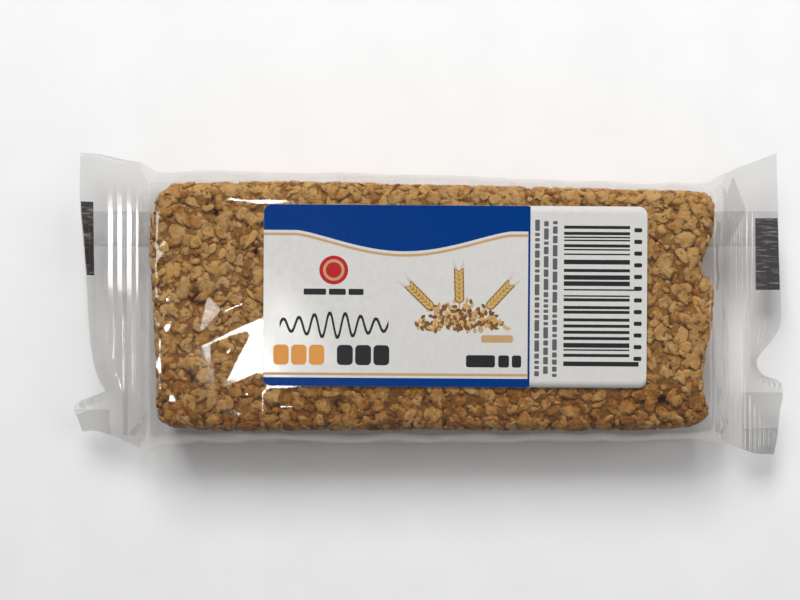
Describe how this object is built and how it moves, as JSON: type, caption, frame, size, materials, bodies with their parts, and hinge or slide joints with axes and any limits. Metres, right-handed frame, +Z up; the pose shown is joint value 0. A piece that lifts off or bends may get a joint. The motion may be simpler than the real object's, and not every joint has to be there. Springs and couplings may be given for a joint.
{
  "type": "granola bar",
  "caption": "Flat baked oat bar sealed in a clear flow wrap with crimped end fins, and a printed label stuck on its top.",
  "frame": {"origin": "on the surface that the pack lies on, under the middle of the pack's box", "axes": "+X along the bar from the left end seal to the right one, +Y across it to the label's upper edge, +Z up out of the labelled face"},
  "size_m": [0.1562, 0.0668, 0.0172],
  "materials": {
    "clear_film": "clear glossy film, brown where the bar shows through it",
    "label_print": "glossy white paper with blue bands, gold lines and dark print",
    "baked_oats": "rough baked oats bound with syrup, tan to dark brown",
    "seal_mark": "black ink printed on the film of the end seals"
  },
  "bodies": {
    "root": {"wrapper": "clear_film", "label": "label_print"}
  },
  "joints": []
}
